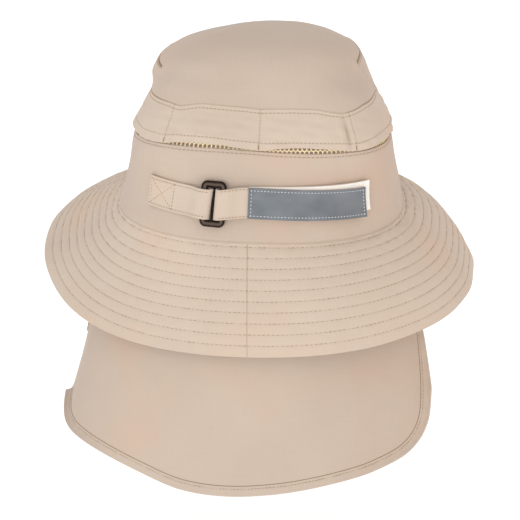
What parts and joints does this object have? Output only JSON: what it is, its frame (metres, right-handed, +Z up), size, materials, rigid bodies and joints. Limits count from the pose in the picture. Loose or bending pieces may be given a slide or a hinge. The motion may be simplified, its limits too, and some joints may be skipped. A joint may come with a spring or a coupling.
{
  "type": "sun cap",
  "caption": "Soft sun cap with a rounded crown, a net vent under a tacked flap, a drooping stitched brim, a back adjuster strap with a buckle and a hanging neck cape.",
  "frame": {"origin": "middle of the head opening, level with the brim seam at the temples", "axes": "+X to the wearer's right, +Y to the wearer's face, +Z up along the head"},
  "size_m": [0.2751, 0.2852, 0.2574],
  "materials": {
    "cloth": "plain woven khaki cloth, matt",
    "cape_cloth": "lighter woven khaki cloth, matt",
    "net": "knitted honey-coloured net",
    "loop_pile": "off-white looped pile",
    "reflective": "blue-grey reflective cloth, faintly mottled",
    "buckle": "dark bronze, satin"
  },
  "bodies": {
    "root": {"lower_crown": "cloth", "vent_net": "net", "upper_crown": "cloth", "vent_flap": "cloth", "brim": "cloth", "neck_cape": "cape_cloth", "cape_hem": "cape_cloth", "strap_anchor": "cloth", "strap_tongue": "cloth", "loop_tape": "loop_pile", "reflective_patch": "reflective", "buckle": "buckle"}
  },
  "joints": []
}
